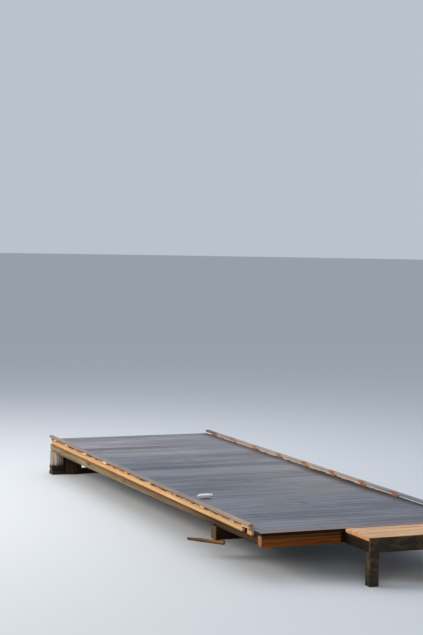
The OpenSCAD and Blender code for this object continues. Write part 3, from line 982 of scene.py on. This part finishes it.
# Step
tread_ys = [NEAR_Y - i * (STEP_BOARD_W + STEP_BOARD_GAP) for i in range(1, STEP_BOARD_N + 1)]
tread = Timber()
for i, y in enumerate(tread_ys, 1):
    bar(tread, (step_low.x, y, step_low.z), (EDGE_X, y + STEP_BOARD_W, step_high.z), ALONG_X,
        seed=600 + i, ease=0.002, wander=0.0007, spacing=0.1)
place_piece("boards_of_step", tread.mesh(), PALE_PINE, "fresh_pine", "step_boards")
under_step = [("step_front_beam", ALONG_X, DARK_TIMBER)]
for kind, axis, material in (("step_joist_", ALONG_Y, DARK_JOIST), ("step_post_", UPRIGHT, DARK_TIMBER)):
    under_step += [(kind + word, axis, material) for word in IN_A_ROW]
for k, (node, axis, material) in enumerate(under_step):
    timber = Timber()
    bar(timber, *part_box(node), axis, seed=620 + k, ease=0.004)
    place_piece("timber_of_" + node, timber.mesh(), material, "dark_timber", node)

# Mooring cleat
cleat = from_solid("mooring_cleat", ALONG_X, seed=700, voxel=0.0016, lumps=0.0, heart=(0, 0),
                   smooth_steps=8)
place_piece("casting_of_mooring_cleat", cleat, CLEAT_METAL, "cleat_metal", "mooring_cleat")


# Nails and screws
def fixing_heads(material):
    """A Geometry Nodes tree that sets a low head on each point, facing along its attribute out."""
    tree = bpy.data.node_groups.new("Fixing heads", "GeometryNodeTree")
    sockets = tree.interface
    sockets.new_socket("Geometry", in_out="INPUT", socket_type="NodeSocketGeometry")
    for label, value in (("Head Radius", 0.004), ("Head Height", 0.0008), ("Spread", 0.08)):
        sockets.new_socket(label, in_out="INPUT", socket_type="NodeSocketFloat").default_value = value
    sockets.new_socket("Seed", in_out="INPUT", socket_type="NodeSocketInt").default_value = 1
    sockets.new_socket("Geometry", in_out="OUTPUT", socket_type="NodeSocketGeometry")
    entry = tree.nodes.new("NodeGroupInput")
    points, radius, height, spread, seed = (Value(socket) for socket in entry.outputs[:5])
    cone = {"Vertices": HEAD_SIDES, "Radius Top": radius * HEAD_CROWN, "Radius Bottom": radius}
    head = result(tree, "GeometryNodeMeshCone", {**cone, "Depth": height})
    out = result(tree, "GeometryNodeInputNamedAttribute", {"Name": "out"}, data_type="FLOAT_VECTOR")
    turned = result(tree, "FunctionNodeAlignRotationToVector", {"Vector": out}, axis="Z")
    size = result(tree, "FunctionNodeRandomValue", {2: 1.0 - spread, 3: spread + 1.0, "Seed": seed}, 1,
                  data_type="FLOAT")
    set_on = result(tree, "GeometryNodeInstanceOnPoints",
                    {"Points": points, "Instance": head, "Rotation": turned, "Scale": size})
    real = result(tree, "GeometryNodeRealizeInstances", {"Geometry": set_on})
    made = result(tree, "GeometryNodeSetMaterial", {"Geometry": real, "Material": material})
    put(tree, "NodeGroupOutput", {0: made})
    return tree


HEADS = fixing_heads(NAIL_STEEL)


def fixings(name, spots, radius, height, seed):
    """Nail or screw heads at (place, direction) spots, as one plain mesh."""
    places, directions = zip(*spots)
    base = bpy.data.meshes.new(name + "_spots")
    base.from_pydata(places, [], [])
    write(base, "out", "FLOAT_VECTOR", "POINT", directions)
    holder = new_object(name + "_spots", base)
    heads = holder.modifiers.new("heads", "NODES")
    heads.node_group = HEADS
    names = {item.name: item.identifier for item in HEADS.interface.items_tree if item.in_out == "INPUT"}
    for label, value in (("Head Radius", radius), ("Head Height", height), ("Seed", seed)):
        heads[names[label]] = value
    place_piece(name, applied(holder), NAIL_STEEL, "cleat_metal")


rng = random.Random(7)


def about(value, spread):
    """A value that is off by up to spread."""
    return value + rng.uniform(-spread, spread)


deck_spots = []
for i in range(BOARD_N):
    for x in STRINGER_ROWS:
        for nail in BOARD_NAILS:
            y = NEAR_Y + i * BOARD_PITCH + nail
            deck_spots.append(((about(x, 0.009), about(y, 0.004), DECK_Z - DECK_SET), UP))
fixings("deck_nails", deck_spots, radius=0.0042, height=0.0016, seed=11)

rail_spots, side_spots = [], []
for side, word in SIDES:
    x = side * (rail_low.x + rail_high.x) / 2
    for y in block_places(word)[1:] + [rail_low.y + 0.03, RAIL_JOINT_Y + 0.02, RAIL_JOINT_Y - 0.03]:
        rail_spots.append(((about(x, 0.005), about(y, 0.01), rail_high.z - RAIL_SET), UP))
    x, z = side * (strip_high.x - STRIP_SET), (strip_low.z + strip_high.z) / 2
    for k in range(STRIP_NAIL_N):
        y = STRIP_Y + STRIP_NAIL_FIRST + k * STRIP_NAIL_PITCH
        side_spots.append(((x, about(y, 0.02), about(z, 0.006)), (side, 0, 0)))
fixings("rail_screws", rail_spots, radius=0.0045, height=0.0018, seed=12)
fixings("strip_nails", side_spots, radius=0.0040, height=0.0018, seed=13)

step_spots = []
screw_rows = (step_low.x + STEP_SCREW_IN, (step_low.x + EDGE_X) / 2, EDGE_X - STEP_SCREW_IN)
for y in tread_ys:
    for x in screw_rows:
        for screw in STEP_SCREWS:
            step_spots.append(((about(x, 0.005), y + screw, DECK_Z - STEP_SET), UP))
front_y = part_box("step_front_beam")[0].y
for x in screw_rows:
    for z in FRONT_SCREW_Z:
        step_spots.append(((about(x, 0.004), front_y + FRONT_SET, z), (0, -1, 0)))
fixings("step_screws", step_spots, radius=0.0040, height=0.0014, seed=14)

# Floor, far wider than the view
bpy.ops.mesh.primitive_circle_add(vertices=96, radius=160, fill_type="NGON", location=(0, 0, 0))
floor = bpy.context.object
floor.name = "studio_floor"
pale, surface = new_material("pale_floor")
feed(surface, {"Base Color": (0.62, 0.64, 0.66, 1), "Roughness": 0.9})
floor.data.materials.append(pale)
floor.visible_diffuse = False

# Light: a sky, brighter above and behind the jetty, and three softboxes
world = bpy.data.worlds.new("studio")
scene.world = world
world.use_nodes = True
sky = world.node_tree
_, ahead, above = split(result(sky, "ShaderNodeTexCoord", {}, "Generated"))
feed(sky.nodes["Background"], {"Color": (0.80, 0.87, 0.98, 1),
                               "Strength": (ahead * 0.45 + above).step(-0.25, 0.35, 0.62, 0.17)})

for name, place, target, size, power, colour in (
        ("left_softbox", (-9.0, 2.8, 5.5), (0, 0.5, 0.3), (8, 4), 830, (1.0, 0.92, 0.82)),
        ("front_softbox", (-6.0, -12.0, 4.0), (0, -2.0, 0.4), (6, 4), 300, (1.0, 0.98, 0.95)),
        ("top_softbox", (-1.0, 4.0, 8.0), (0, 0.5, 0.4), (9, 9), 350, (0.86, 0.92, 1.0))):
    lamp = bpy.data.lights.new(name, "AREA")
    lamp.shape, lamp.size, lamp.size_y = "RECTANGLE", *size
    lamp.energy, lamp.color = power, colour
    aim = (Vector(target) - Vector(place)).to_track_quat("-Z", "Y")
    new_object(name, lamp).matrix_world = Matrix.LocRotScale(Vector(place), aim, None)

# Camera: its place, its turns in degrees, and its focal length in pixels of the photograph's height
CAMERA_PLACE, CAMERA_TURNS = (-6.541, -15.3825, 3.022), (22.01, -3.18, 0.91)
LENS_PX, IMAGE_H, SENSOR_H = 1600.0, 635, 36.0
yaw, pitch, roll = map(math.radians, CAMERA_TURNS)
forward = Vector((math.sin(yaw) * math.cos(pitch), math.cos(yaw) * math.cos(pitch), math.sin(pitch)))
right = Vector((math.cos(yaw), -math.sin(yaw), 0.0))
up = right.cross(forward)
right, up = right * math.cos(roll) + up * math.sin(roll), up * math.cos(roll) - right * math.sin(roll)
lens = bpy.data.cameras.new("camera")
lens.sensor_fit, lens.sensor_height = "VERTICAL", SENSOR_H
lens.lens = LENS_PX / IMAGE_H * SENSOR_H
lens.clip_end = 500.0
camera = new_object("camera", lens)
turn = Matrix((right, up, -forward)).transposed()
camera.matrix_world = Matrix.Translation(CAMERA_PLACE) @ turn.to_4x4()
scene.camera = camera
scene.view_settings.view_transform = "Standard"
